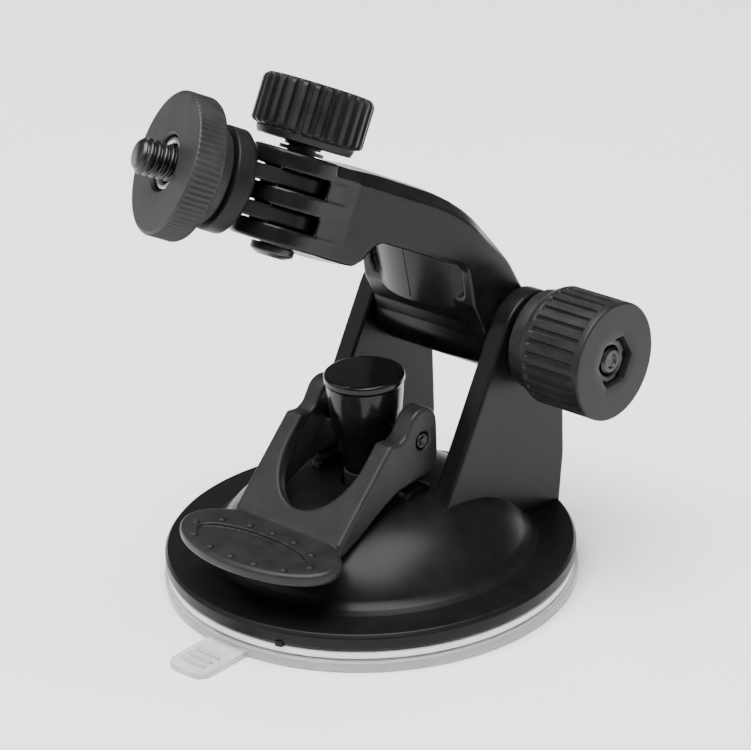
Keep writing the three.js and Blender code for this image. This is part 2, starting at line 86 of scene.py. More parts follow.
# ---------- driving dimensions, in millimetres ----------
COVER = {
    "radius": 37.8, "top": 1.95, "tab_half": 4.5, "tab_end": 48.8, "tab_top": 1.1,
    "ribs": (42.6, 44.45, 46.3),
}
PAD = {"radius": 37.2, "low": 2.25, "rim": 1.45, "crown": 2.7, "centre": 9.5, "seat": 30.0, "kept": 0.52}
CUP = {"radius": 37.5, "low": 4.0, "top": 7.07, "foot": 30.2, "wall": 2.2, "hollow": 27.9, "stem_hole": 4.9}
NUB = {"half": 1.0, "tip_half": 0.75, "root": 1.2, "out": 0.5, "turn": 17, "down": 0.3, "up": 0.7}
DOME = {"ring": 10.14, "depth": -2.52, "radius": 21.25}
YOKE = {
    "inner": 13.8, "outer": 17.7, "top": 8.5, "back": 34.4, "back_foot": 33.0, "back_rise": 16.0,
    "foot": -4.9, "slope": 0.62,
}
CAM_REST = {"inner": 9.3, "outer": 11.6, "front": -2.6, "back": 3.8, "top": 20.0}
TILT_BOLT = {"radius": 2.5, "head": 6.2, "washer": 7.0}
KNOB = {
    "radius": 10.85, "collar": 9.2, "near": 21.9, "face": 36.2, "flutes": 30, "hex": 8.4, "hex_depth": 2.6,
}
POST = {
    "bottom": 21.8, "waist": 4.35, "cup": ((4.9, 24.5, 4), (6.15, 29.5, 8), (6.75, 34.0, 8)), "lip": 7.3,
    "lip_low": 38.5, "top": 39.8,
}
STEM = {"disc": 9.0, "low": 6.85, "high": 8.9, "shaft": 4.3, "shaft_top": 21.2, "neck": 2.6, "neck_top": 26.4}
SPRING = {"radius": 6.1, "wire": 0.45, "low": 9.7, "high": 15.8, "turns": 4}
LEVER = {
    "half": 12.75, "ear_inner": 9.0, "fold": (-21.65, 17.6), "slope": 43.9, "slope_length": 19.9, "skin": 2.6,
    "ear": (1.3, 31.9), "ear_radius": 3.75, "slot": (8.9, 11.7, 15.5),
    "pad": (17.7, 9.0), "pad_y": -28.4, "pad_low": 15.1, "pad_top": 17.6,
}
RECESS = {"y": -30.6, "half_x": 12.6, "half_y": 4.3, "depth": 0.62}
LEVER_PIN = {"y": 0.9, "z": 29.5, "radius": 1.4}
FORK = {
    "low": 3.0, "finger": 3.1, "slot": 3.25, "top": 18.8, "pocket": 7.3, "wall_end": 54.7, "half": 8.0,
    "bolt": 2.45, "hole": 2.8,
}
HUB = {"radius": 8.0, "half": 13.35}
SHELL = {"wall": 2.2, "roof": 14.6, "hollow_back": 14.0, "hollow_front": 45.2, "crown": 0.8, "step": 0.22}
DRUM = {"radius": 18.0, "lean": 39.0, "nose": (16.8, 2.6)}
FORK_KNOB = {
    "radius": 9.8, "low": 21.9, "top": 30.8, "collar": 8.2, "collar_low": 20.5, "neck": 3.2, "ribs": 28,
}
FORK_HEAD = {"radius": 3.8, "low": 0.7, "top": 2.7}
FORK_WASHER = {"radius": 3.9, "low": 19.05, "top": 19.65}
PLATE = {"finger": 2.65, "half": 5.8, "disc": 9.1, "back": 10.2, "front": 14.2, "bore": 3.475}
WHEEL = {
    "radius": 12.5, "back": 17.6, "face": 23.3, "boss": 8.2, "boss_back": 14.5, "bore": 4.9, "knurls": 80,
}
SCREW = {"radius": 3.175, "root": 2.5, "pitch": 1.27, "tip": 28.4, "tail": 10.6}
INSERT = {"radius": 4.6, "bore": 3.5, "back": 18.5, "face": 22.7}


# ---------- outlines ----------
def unit(angle):
    return np.array((math.cos(math.radians(angle)), math.sin(math.radians(angle))))


def arc(centre, radius, start, end, steps):
    return [tuple(np.array(centre) + radius * unit(a)) for a in np.linspace(start, end, steps + 1)]


def filleted(points, closed=True, steps=4):
    """A polyline whose corners (a, b, radius) are rounded. Corners given as (a, b) stay sharp."""
    out = []
    count = len(points)
    for i, corner in enumerate(points):
        here = np.array(corner[:2], float)
        radius = corner[2] if len(corner) > 2 else 0.0
        if radius == 0.0 or (not closed and i in (0, count - 1)):
            out.append(tuple(here))
            continue
        before = np.array(points[i - 1][:2], float) - here
        after = np.array(points[(i + 1) % count][:2], float) - here
        reach = 0.48 * min(np.hypot(*before), np.hypot(*after))
        before /= np.hypot(*before)
        after /= np.hypot(*after)
        half = math.acos(float(np.clip(before @ after, -1, 1))) / 2
        if half > math.radians(89):
            out.append(tuple(here))
            continue
        run = min(radius / math.tan(half), reach)
        radius = run * math.tan(half)
        centre = here + (before + after) / np.hypot(*(before + after)) * radius / math.sin(half)
        first, last = here + before * run - centre, here + after * run - centre
        start = math.atan2(first[1], first[0])
        sweep = (math.atan2(last[1], last[0]) - start + math.pi) % (2 * math.pi) - math.pi
        for k in range(steps + 1):
            angle = start + sweep * k / steps
            out.append((centre[0] + radius * math.cos(angle), centre[1] + radius * math.sin(angle)))
    return out


# ---------- signed distances ----------
def polygon(outline, px, py):
    """Signed distance to a closed outline, negative inside."""
    points = np.asarray(outline, np.float32)
    nearest = np.full(px.shape, np.inf, np.float32)
    inside = np.zeros(px.shape, bool)
    for (ax, ay), (bx, by) in zip(points, np.roll(points, -1, axis=0)):
        ex, ey = bx - ax, by - ay
        length = ex * ex + ey * ey
        if length < 1e-10:
            continue
        wx, wy = px - ax, py - ay
        along = np.clip((wx * ex + wy * ey) / length, 0, 1)
        nearest = np.minimum(nearest, (wx - ex * along) ** 2 + (wy - ey * along) ** 2)
        if ay != by:
            inside ^= ((ay > py) != (by > py)) & (px < ex * (py - ay) / ey + ax)
    return np.where(inside, -1, 1) * np.sqrt(nearest)


def both(a, b, radius):
    """The part in a and in b, with the edge where they meet rounded."""
    a, b = a + radius, b + radius
    return np.minimum(np.maximum(a, b), 0) + np.hypot(np.maximum(a, 0), np.maximum(b, 0)) - radius


def either(a, b, radius):
    return -both(-a, -b, radius)


def less(a, b, radius):
    return both(a, -b, radius)


def ellipse(px, py, half_x, half_y):
    """Near the outline, the distance to an ellipse."""
    scaled = np.hypot(px / half_x, py / half_y)
    slope = np.hypot(px / half_x**2, py / half_y**2) + 1e-9
    return scaled * (scaled - 1) / slope


def ramp(value, start, end):
    t = np.clip((value - start) / (end - start), 0, 1)
    return t * t * (3 - 2 * t)


# ---------- meshing a signed distance ----------
BLOCK = 4
CORNERS = np.array([(i, j, k) for i in (0, 1) for j in (0, 1) for k in (0, 1)])
EDGES = [(a, b) for a in range(8) for b in range(a + 1, 8) if np.abs(CORNERS[a] - CORNERS[b]).sum() == 1]


def sampled(distance, low, step, blocks):
    """Distances on the grid. Blocks far from the surface keep the value at their middle."""
    middles = [low[i] + (np.arange(blocks[i]) + 0.5) * step * BLOCK for i in range(3)]
    coarse = distance(*np.meshgrid(*[m.astype(np.float32) for m in middles], indexing="ij"))
    near = np.abs(coarse) < step * BLOCK * math.sqrt(3) / 2 * 1.25
    fine = coarse.repeat(BLOCK, 0).repeat(BLOCK, 1).repeat(BLOCK, 2)
    fine = np.pad(fine, ((0, 1),) * 3, mode="edge")
    cells = near.repeat(BLOCK, 0).repeat(BLOCK, 1).repeat(BLOCK, 2)
    wanted = np.zeros(fine.shape, bool)
    for i, j, k in CORNERS:
        wanted[i:i + cells.shape[0], j:j + cells.shape[1], k:k + cells.shape[2]] |= cells
    index = np.argwhere(wanted)
    at = (np.asarray(low) + index * step).astype(np.float32)
    fine[wanted] = distance(at[:, 0], at[:, 1], at[:, 2])
    return fine


def gradient(distance, at, reach):
    """The surface's direction at each point, from four samples round it."""
    total = np.zeros_like(at)
    for corner in ((1, 1, 1), (1, -1, -1), (-1, 1, -1), (-1, -1, 1)):
        offset = np.array(corner, np.float32)
        moved = at + offset * reach
        total += distance(moved[:, 0], moved[:, 1], moved[:, 2])[:, None] * offset
    return total / (4 * reach)


def surface(distance, low, high, step):
    """(points, quads) where distance is zero: one point per mixed cell, pulled onto the surface."""
    blocks = [int(math.ceil((high[i] - low[i]) / (step * BLOCK))) for i in range(3)]
    values = sampled(distance, low, step, blocks)
    inside = values < 0
    shape = tuple(n - 1 for n in values.shape)
    count = np.zeros(shape, np.int8)
    for i, j, k in CORNERS:
        count += inside[i:i + shape[0], j:j + shape[1], k:k + shape[2]]
    cells = np.argwhere((count > 0) & (count < 8))
    held = np.stack([values[tuple((cells + c).T)] for c in CORNERS], 1)
    total, crossings = np.zeros((len(cells), 3)), np.zeros(len(cells))
    for a, b in EDGES:
        va, vb = held[:, a], held[:, b]
        mixed = (va < 0) != (vb < 0)
        t = np.where(mixed, va / np.where(mixed, va - vb, 1), 0)
        total += mixed[:, None] * (CORNERS[a] + t[:, None] * (CORNERS[b] - CORNERS[a]))
        crossings += mixed
    at = (np.asarray(low) + (cells + total / crossings[:, None]) * step).astype(np.float32)
    start = at.copy()
    for _ in range(2):
        slope = gradient(distance, at, 0.15 * step)
        size = np.maximum((slope**2).sum(1), 0.2)
        at -= slope * (distance(at[:, 0], at[:, 1], at[:, 2]) / size)[:, None]
        at = start + np.clip(at - start, -0.45 * step, 0.45 * step)
    number = np.full(shape, -1, np.int32)
    number[tuple(cells.T)] = np.arange(len(cells))
    quads = []
    for axis in range(3):
        u, v = (axis + 1) % 3, (axis + 2) % 3
        ahead = np.roll(inside, -1, axis=axis)
        changes = inside != ahead
        cut = [slice(1, -1)] * 3
        cut[axis] = slice(0, -1)
        where = np.argwhere(changes[tuple(cut)])
        where += np.array([0 if i == axis else 1 for i in range(3)])
        steps = np.zeros((4, 3), int)
        steps[1, u] = steps[2, u] = -1
        steps[2, v] = steps[3, v] = -1
        ring = np.stack([number[tuple((where + s).T)] for s in steps], 1)
        outward = inside[tuple(where.T)]
        quads.append(np.where(outward[:, None], ring, ring[:, ::-1]))
    return at, np.concatenate(quads)


# ---------- lofted pieces ----------
def circle(radius, height, count):
    """A ring round Z. radius may be one number or one for each point."""
    angle = np.arange(count) * 2 * math.pi / count
    return np.stack([radius * np.cos(angle), radius * np.sin(angle), np.full(count, height)], 1)


def loft(rings, closed=False):
    """(points, faces) through rings of equal length. An open loft is capped at both ends."""
    count = len(rings[0])
    faces = []
    last = len(rings) if closed else len(rings) - 1
    for i in range(last):
        a, b = i * count, (i + 1) % len(rings) * count
        faces += [(a + j, a + (j + 1) % count, b + (j + 1) % count, b + j) for j in range(count)]
    if not closed:
        end = (len(rings) - 1) * count
        faces.append(tuple(range(count - 1, -1, -1)))
        faces.append(tuple(range(end, end + count)))
    return np.concatenate(rings), faces


def turned(profile, count=96, closed=False, steps=4):
    """A profile of (radius, height, fillet) turned about Z, from its low end to its high end."""
    smooth = filleted(profile, closed, steps)
    return loft([circle(max(r, 0.02), z, count) for r, z in smooth], closed)


def hexagon(flats, angle):
    """The radius of a hexagon at each angle, its corners a little rounded."""
    sector = (angle + math.pi / 6) % (math.pi / 3) - math.pi / 6
    return np.minimum(flats / 2 / np.cos(sector), flats / 2 * 1.13)


def along(axis):
    """Turns a piece made round Z so that its height runs along the axis."""
    if axis == "X":
        return Matrix(((0, 0, 1), (0, 1, 0), (-1, 0, 0))).to_4x4()
    return Matrix(((1, 0, 0), (0, 0, -1), (0, 1, 0))).to_4x4()


def joined(*parts):
    """Several (points, faces) as one."""
    points, faces, start = [], [], 0
    for part_points, part_faces in parts:
        points.append(np.asarray(part_points, float))
        faces += [tuple(int(i) + start for i in face) for face in part_faces]
        start += len(part_points)
    return np.concatenate(points), faces


def moved(part, matrix):
    points, faces = part
    turn, shift = np.array(matrix.to_3x3()), np.array(matrix.translation)
    return points @ turn.T + shift, faces


# ---------- materials ----------
def nodes_for(name):
    material = bpy.data.materials.new(name)
    material.use_nodes = True
    tree = material.node_tree
    shader = tree.nodes["Principled BSDF"]
    place = tree.nodes.new("ShaderNodeTexCoord")
    return material, tree, shader, place.outputs["Object"]


def noise(tree, place, size_mm, detail=2.0):
    node = tree.nodes.new("ShaderNodeTexNoise")
    node.inputs["Scale"].default_value = 1 / (size_mm * MM)
    node.inputs["Detail"].default_value = detail
    tree.links.new(place, node.inputs["Vector"])
    return node.outputs["Fac"]


def spread(tree, value, low, high):
    """Noise, which lies mostly between 0.3 and 0.7, mapped to low..high."""
    node = tree.nodes.new("ShaderNodeMapRange")
    for name, number in (("From Min", 0.3), ("From Max", 0.7), ("To Min", low), ("To Max", high)):
        node.inputs[name].default_value = number
    tree.links.new(value, node.inputs["Value"])
    return node.outputs["Result"]


def tinted(tree, value, dark, light):
    node = tree.nodes.new("ShaderNodeValToRGB")
    node.color_ramp.elements[0].position = 0.3
    node.color_ramp.elements[1].position = 0.7
    node.color_ramp.elements[0].color = (*dark, 1)
    node.color_ramp.elements[1].color = (*light, 1)
    tree.links.new(value, node.inputs["Fac"])
    return node.outputs["Color"]


def bumped(tree, shader, layers):
    """Bump layers of (height, depth in mm), each on top of the one before."""
    before = None
    for height, depth in layers:
        node = tree.nodes.new("ShaderNodeBump")
        node.inputs["Distance"].default_value = depth * MM
        tree.links.new(height, node.inputs["Height"])
        if before:
            tree.links.new(before, node.inputs["Normal"])
        before = node.outputs["Normal"]
    tree.links.new(before, shader.inputs["Normal"])


def plastic(name, dark, light, roughness, grain, depth, shine=0.25):
    """Moulded plastic: fine surface grain over slow waviness, with colour and roughness drifting."""
    material, tree, shader, place = nodes_for(name)
    slow, fine, patch = noise(tree, place, 14), noise(tree, place, grain, 3), noise(tree, place, 3.5, 4)
    tree.links.new(tinted(tree, patch, dark, light), shader.inputs["Base Color"])
    tree.links.new(spread(tree, patch, *roughness), shader.inputs["Roughness"])
    bumped(tree, shader, [(slow, depth * 3), (fine, depth)])
    shader.inputs["Specular IOR Level"].default_value = shine
    return material


def metal(name, dark, light, roughness, grain):
    material, tree, shader, place = nodes_for(name)
    stretch = tree.nodes.new("ShaderNodeMapping")
    stretch.inputs["Scale"].default_value = (1, 1, 6)
    tree.links.new(place, stretch.inputs["Vector"])
    brushed, patch = noise(tree, stretch.outputs["Vector"], grain, 4), noise(tree, place, 2.5, 3)
    tree.links.new(tinted(tree, patch, dark, light), shader.inputs["Base Color"])
    tree.links.new(spread(tree, brushed, *roughness), shader.inputs["Roughness"])
    bumped(tree, shader, [(brushed, 0.012)])
    shader.inputs["Metallic"].default_value = 1.0
    return material


def clear(name, tint, roughness, grain, ior, passing):
    material, tree, shader, place = nodes_for(name)
    haze, fine = noise(tree, place, 9, 3), noise(tree, place, grain, 2)
    light = tuple(min(1.0, c * 1.02) for c in tint)
    tree.links.new(tinted(tree, haze, tuple(c * 0.97 for c in tint), light), shader.inputs["Base Color"])
    tree.links.new(spread(tree, haze, *roughness), shader.inputs["Roughness"])
    bumped(tree, shader, [(fine, 0.01)])
    shader.inputs["Transmission Weight"].default_value = passing
    shader.inputs["IOR"].default_value = ior
    return material


GLOSS = plastic(
    "gloss_black_plastic", (0.004, 0.004, 0.0042), (0.006, 0.006, 0.0063), (0.32, 0.37), 0.9, 0.001, 0.15,
)
ARM_GLOSS = plastic(
    "arm_gloss_plastic", (0.004, 0.004, 0.0042), (0.008, 0.008, 0.0084), (0.22, 0.27), 0.9, 0.001, 0.22,
)
POST_GLOSS = plastic(
    "post_gloss_plastic", (0.003, 0.003, 0.0032), (0.006, 0.006, 0.0064), (0.12, 0.18), 0.9, 0.0008,
)
SATIN = plastic("satin_black_plastic", (0.01, 0.01, 0.0104), (0.017, 0.017, 0.0175), (0.36, 0.5), 0.22, 0.006)
ADAPTER_BLACK = plastic(
    "adapter_plastic", (0.005, 0.005, 0.0052), (0.009, 0.009, 0.0094), (0.4, 0.5), 0.22, 0.004, 0.18,
)
KNOB_BLACK = plastic(
    "knob_plastic", (0.009, 0.009, 0.0094), (0.016, 0.016, 0.0165), (0.38, 0.48), 0.3, 0.008, 0.18,
)
WHEEL_GREY = plastic(
    "wheel_plastic", (0.016, 0.016, 0.0165), (0.027, 0.027, 0.028), (0.38, 0.52), 0.25, 0.008,
)
STEEL = metal("bright_steel", (0.45, 0.45, 0.46), (0.62, 0.62, 0.63), (0.2, 0.36), 0.3)
BLACK_STEEL = metal("blackened_steel", (0.03, 0.03, 0.031), (0.07, 0.07, 0.072), (0.26, 0.42), 0.3)
FILM = clear("clear_film", (0.95, 0.955, 0.96), (0.06, 0.16), 2.0, 1.49, 0.72)
GEL = clear("clear_gel", (0.97, 0.975, 0.98), (0.1, 0.22), 1.4, 1.42, 0.15)


# ---------- making a piece ----------
def piece(name, part, place, body, material, nodes=(), crisp=False):
    """A mesh object riding on a body. crisp pieces keep flat faces flat between their rounded edges."""
    points, faces = part
    points = np.asarray(points, float) @ np.array(place.to_3x3()).T + np.array(place.translation)
    mesh = bpy.data.meshes.new(name)
    mesh.from_pydata((points * MM).tolist(), [], [tuple(int(i) for i in face) for face in faces])
    mesh.validate()
    mesh.shade_smooth()
    mesh.materials.append(material)
    made = bpy.data.objects.new(name, mesh)
    bpy.context.scene.collection.objects.link(made)
    if crisp:
        mesh.set_sharp_from_angle(angle=math.radians(50))
        weighted = made.modifiers.new("weighted", "WEIGHTED_NORMAL")
        weighted.keep_sharp = True
    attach(made, body)
    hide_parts(*(nodes or (name,)))
    return made


# ---------- cover and pad ----------
def cover_disc():
    radius, top = COVER["radius"], COVER["top"]
    return turned([(0, 0), (0.5, 0), (radius, 0, 0.4), (radius, top, 0.35), (0.5, top), (0, top)], 160)


def slab(outline, low, high, edge):
    """An outline in plan, raised from low to high with its edges rounded."""
    middle = np.mean(outline, axis=0)
    rings = []
    for inset, height in ((edge, low), (edge * 0.3, low + edge * 0.3), (0, low + edge), (0, high - edge),
                          (edge * 0.3, high - edge * 0.3), (edge, high)):
        ring = []
        for x, y in outline:
            away = np.array((x, y)) - middle
            ring.append((*(np.array((x, y)) - away / np.hypot(*away) * inset), height))
        rings.append(np.array(ring))
    return loft(rings)


def cover_tab():
    half, end = COVER["tab_half"], -COVER["tab_end"]
    outline = filleted([(half, -COVER["radius"] + 2), (-half, -COVER["radius"] + 2), (-half, end, 2.4),
                        (half, end, 2.4)],
                       steps=8)
    parts = [slab(outline, 0, COVER["tab_top"], 0.25)]
    for y in COVER["ribs"]:
        bar = filleted([(2.9, -y + 0.32, 0.3), (-2.9, -y + 0.32, 0.3), (-2.9, -y - 0.32, 0.3),
                        (2.9, -y - 0.32, 0.3)])
        parts.append(slab(bar, COVER["tab_top"] - 0.2, COVER["tab_top"] + 0.55, 0.2))
    return joined(*parts)


def pad_disc():
    low, rim_top = PAD["low"], PAD["low"] + PAD["rim"]
    seat, centre, radius = PAD["seat"], PAD["centre"], PAD["radius"]
    return turned([
        (0, low + PAD["crown"]), (centre, low + PAD["crown"], 20), (seat, low, 20), (radius, low, 0.4),
        (radius, rim_top, 0.4), (seat, rim_top, 20), (centre, rim_top + PAD["crown"], 20),
        (0, rim_top + PAD["crown"]),
    ], 128, steps=8)


# ---------- cup ----------
def dome_distance(x, y, z, inset):
    """Distance to the dome's surface, moved inwards by inset."""
    out = np.hypot(x, y)
    radius = DOME["radius"] - inset
    over_ring = np.hypot(out - DOME["ring"], z - DOME["depth"]) - radius
    return np.where(out > DOME["ring"], over_ring, z - DOME["depth"] - radius)


def dome_profile(inset, height, steps):
    radius = DOME["radius"] - inset
    foot = math.degrees(math.asin((height - DOME["depth"]) / radius))
    return arc((DOME["ring"], DOME["depth"]), radius, foot, 90, steps)


def cup_shell():
    low, top, radius, foot = CUP["low"], CUP["top"], CUP["radius"], CUP["foot"]
    inner_top = DOME["depth"] + DOME["radius"] - CUP["wall"]
    outer_top = DOME["depth"] + DOME["radius"]
    hole = CUP["stem_hole"]
    return turned([
        (hole, inner_top), *dome_profile(CUP["wall"], low + 0.4, 14)[::-1], (CUP["hollow"], low, 0.3),
        (radius - 0.25, low, 0.35), (radius, low + 0.4, 0.3), (radius, top - 0.75, 0.3),
        (radius - 0.55, top, 0.35),
        (foot + 0.5, top, 0.5), (foot - 0.75, top + 0.5, 0.3), *dome_profile(0, top + 1.3, 36),
        (hole, outer_top, 0.3),
    ], 224, closed=True)


def plate_outline():
    foot = CUP["low"] + 2.6
    def front(z):
        return YOKE["foot"] + YOKE["slope"] * (z - CUP["top"])
    lean = 90 - math.degrees(math.atan(YOKE["slope"]))
    top = arc((PIVOT.y, PIVOT.z), YOKE["top"], -8, lean + 90, 18)
    return [(front(foot), foot), (YOKE["back_foot"], foot), (YOKE["back"], YOKE["back_rise"]),
            (YOKE["back"], PIVOT.z - 4), *top]


def uprights(x, y, z):
    """The yoke's two plates and the two cam rests under the lever's ears."""
    across = np.abs(x)
    half = (YOKE["outer"] - YOKE["inner"]) / 2
    middle = (YOKE["inner"] + YOKE["outer"]) / 2
    plates = both(polygon(plate_outline(), y, z), np.abs(across - middle) - half, 0.45)
    foot, top = CUP["top"] + 4, CAM_REST["top"]
    rest_side = filleted([(CAM_REST["front"] - 1, foot), (CAM_REST["back"] + 1, foot),
                          (CAM_REST["back"], top, 1.2),
                          (CAM_REST["front"], top, 1.2)])
    rest_half = (CAM_REST["outer"] - CAM_REST["inner"]) / 2
    rest_middle = (CAM_REST["inner"] + CAM_REST["outer"]) / 2
    rests = both(polygon(rest_side, y, z), np.abs(across - rest_middle) - rest_half, 0.35)
    shell_inside = dome_distance(x, y, z, CUP["wall"] * 0.5)
    return np.maximum(np.minimum(plates, rests), -shell_inside)


def flange_nub():
    """A small gate mark standing out of the flange's side."""
    low, high = CUP["low"] - NUB["down"], CUP["low"] + NUB["up"]
    side, out = CUP["radius"] - NUB["root"], CUP["radius"] + NUB["out"]
    half, tip_half = NUB["half"], NUB["tip_half"]
    outline = filleted([(-half, -side), (-tip_half, -out, 0.35), (tip_half, -out, 0.35), (half, -side)])
    return moved(slab(outline[::-1], low, high, 0.2), Matrix.Rotation(math.radians(NUB["turn"]), 4, "Z"))


# ---------- lever ----------
def lever_along(run, inward=0.0):
    rise = unit(LEVER["slope"])
    fold_y, fold_z = LEVER["fold"]
    return (fold_y + run * rise[0] + inward * rise[1], fold_z + run * rise[1] - inward * rise[0])


def lever_side():
    ear = arc(LEVER["ear"], LEVER["ear_radius"], 152, 0, 12)
    low = LEVER["pad_low"]
    return filleted([
        lever_along(0), (*lever_along(LEVER["slope_length"]), 0.8), (-4.9, 31.0, 1.6), (-3.3, 31.8, 1.6),
        *ear,
        (5.05, 24.4, 0.6), (4.4, 22.6, 1.4), (-3.0, 22.1, 3), (-6.1, 21.7, 4), (-9.6, 20.3, 6),
        (-16.3, 16.8, 6),
        (-20.4, low, 2), (-22.0, low),
    ])


def lever_shape(x, y, z):
    across = np.abs(x)
    blank = both(polygon(lever_side(), y, z), across - LEVER["half"], 0.75)
    corner = lever_along(3.6, LEVER["skin"])
    hollow_side = [corner, lever_along(LEVER["slope_length"] + 6, LEVER["skin"]), (12, 42), (12, 5),
                   (corner[0], 5)]
    hollow = both(polygon(hollow_side, y, z), across - LEVER["ear_inner"], 0.8)
    slot_half, slot_length, slot_centre = LEVER["slot"]
    rise = unit(LEVER["slope"])
    run = (y - LEVER["fold"][0]) * rise[0] + (z - LEVER["fold"][1]) * rise[1]
    depth = (z - LEVER["fold"][1]) * rise[0] - (y - LEVER["fold"][0]) * rise[1]
    bowl = ellipse(x, run - slot_centre, slot_half, slot_length)
    mouth = np.where(run < slot_centre, bowl, across - slot_half)
    mouth = np.maximum(mouth, np.abs(depth) - 6)
    body = less(less(blank, hollow, 0.3), mouth, 0.55)
    body = less(body, np.hypot(y - LEVER_PIN["y"], z - LEVER_PIN["z"]) - LEVER_PIN["radius"] - 0.32, 0.25)
    pad = thumb_pad(x, y, z)
    return less(either(body, pad, 0.35), dome_distance(x, y, z, -0.7), 0.2)


def thumb_pad(x, y, z):
    """An oval plate with a rounded lip, and a thumb recess that is deepest along its rear edge."""
    low, top = LEVER["pad_low"], LEVER["pad_top"]
    oval = ellipse(x, y - LEVER["pad_y"], *LEVER["pad"])
    plate = both(oval, np.abs(z - (low + top) / 2) - (top - low) / 2, 0.95)
    centre_y, half_x, half_y = RECESS["y"], RECESS["half_x"], RECESS["half_y"]
    depth = RECESS["depth"] * ramp(y, centre_y - half_y, centre_y + half_y * 0.5)
    recess = np.maximum(ellipse(x, y - centre_y, half_x, half_y), top - depth - z)
    return less(plate, recess, 0.12)


def pips():
    """Raised dots in an oval round the thumb recess."""
    rear = [(0, -25.1), (5.3, -25.3), (10.8, -26.8)]
    front = [(0, -35.7), (5.3, -35.4), (10.8, -33.8)]
    places = [(side * x, y) for x, y in rear + front for side in ((1, -1) if x else (1,))]
    places += [(13.8, -30.4), (-13.8, -30.4)]
    dot = turned([(0.78, -0.15), (0.76, 0.08, 0.1), (0.55, 0.36, 0.2), (0.2, 0.45), (0, 0.45)], 20)
    return [moved(dot, Matrix.Translation((x, y, LEVER["pad_top"]))) for x, y in places]


# ---------- arm ----------
# the arm's top edge from the fork back to the hub, as (distance forward, height)
TOP_LINE = [
    (66, 18.8), (29, 18.8), (25, 18.4), (21.5, 17.7), (18.3, 16.75), (14.7, 15.3), (10.8, 13.4),
    (7.0, 11.25), (3.8, 9.3),
]
TAPER_FROM, CREASE = 17.0, 47.2
TAPER_EASE = 2.5
BEVEL = {"wide": 1.9, "deep": 1.75, "from": 54.0, "hub_fade": 1.4}


def arm_side():
    underside = [(9.2, -1.2), (13.3, 1.8, 3), (18.1, 8.35, 2), (38.6, 8.35, 2.5), (40.4, 7.0, 2),
                 (41.9, 4.3, 2.5),
                 (43.6, 3.0, 1.5), (66, 3.0)]
    hub = [(-d, e) for d, e in arc((0, 0), HUB["radius"], 100, -121, 28)]
    return filleted([(d, e, 8) for d, e in TOP_LINE[1:-1]] + [TOP_LINE[-1]] + hub + underside + [TOP_LINE[0]])


def arm_half_width(d):
    """Parallel at the hub, then easing into a straight taper that ends in a crease at the fork."""
    slope = (HUB["half"] - FORK["half"]) / (CREASE - TAPER_FROM)
    taken = TAPER_EASE * np.logaddexp(0, (np.minimum(d, CREASE) - TAPER_FROM) / TAPER_EASE)
    return (HUB["half"] - slope * taken).astype(np.float32)


def top_height(d):
    """The height of the arm's top edge, smoothed between the points of its line."""
    reach = 1.6
    line_d, line_e = [p[0] for p in TOP_LINE[::-1]], [p[1] for p in TOP_LINE[::-1]]
    near = [np.interp(d + shift, line_d, line_e) for shift in (-reach, -reach / 2, 0, reach / 2, reach)]
    return (sum(near) / len(near)).astype(np.float32)


def arm_plan(x, d, inset):
    """Distance to the arm's outline in plan: parallel, tapering, then parallel to a round nose."""
    nose = np.hypot(x, np.maximum(d - REACH, 0)) - FORK["half"]
    return np.where(d > REACH, nose, np.abs(x) - arm_half_width(d)) + inset


def slot_walls(d, e):
    """How far the thin side walls beside the slots' pockets stand back from the fingers' sides."""
    pitch = FORK["finger"] + FORK["slot"]
    first = FORK["low"] + FORK["finger"] + FORK["slot"] / 2
    beside = np.minimum(np.abs(e - first), np.abs(e - first - pitch)) - FORK["slot"] / 2
    return SHELL["step"] * (1 - ramp(beside, -0.1, 0.1)) * ramp(d, CREASE, CREASE + 4)


def arm_shape(x, y, e):
    """The bevelled, hollow arm with its hub, drum and slotted fork. d is the distance forward."""
    d = -y
    half = arm_half_width(d)
    bulge = SHELL["crown"] * (1 - (x / half) ** 2)
    crown = bulge * ramp(e, 11, 17) * ramp(d, 6, 14) * (1 - ramp(d, 40, 50))
    belly = bulge * (1 - ramp(e, 4, 8)) * ramp(d, 42, 46) * (1 - ramp(d, 49, 54))
    walls = both(polygon(arm_side(), d, e - crown + belly), arm_plan(x, d, slot_walls(d, e)), 0.5)
    width, drop = BEVEL["wide"], BEVEL["deep"]
    bevel = ((np.abs(x) - half) * drop + (e - top_height(d) + drop) * width) / math.hypot(width, drop)
    bevel -= BEVEL["hub_fade"] * (1 - ramp(d, 4, 16)) + 3 * ramp(d, BEVEL["from"], BEVEL["from"] + 0.6)
    walls = both(walls, bevel, 0.15)
    roof, back, front = SHELL["roof"], SHELL["hollow_back"], SHELL["hollow_front"]
    hollow_side = [(front, -6), (front, roof), (back, roof), (back, -6)]
    hollow = both(polygon(hollow_side, d, e), arm_plan(x, d, SHELL["wall"]), 1.0)
    walls = less(walls, hollow, 0.3)
    barrel = both(np.hypot(d, e) - HUB["radius"], np.abs(x) - HUB["half"], 0.5)
    drum = both(arm_drum(x, d, e), bevel + 0.1, 0.15)
    shape = np.minimum(walls, np.minimum(barrel, drum))
    for k in range(2):
        low = FORK["low"] + FORK["finger"] + k * (FORK["finger"] + FORK["slot"])
        opening = np.minimum(FORK["wall_end"] - d, np.hypot(x, d - REACH) - FORK["pocket"])
        gap = np.maximum(np.abs(e - low - FORK["slot"] / 2) - FORK["slot"] / 2, opening)
        shape = less(shape, gap, 0.28)
    return np.maximum(shape, FORK["hole"] - np.hypot(x, d - REACH))


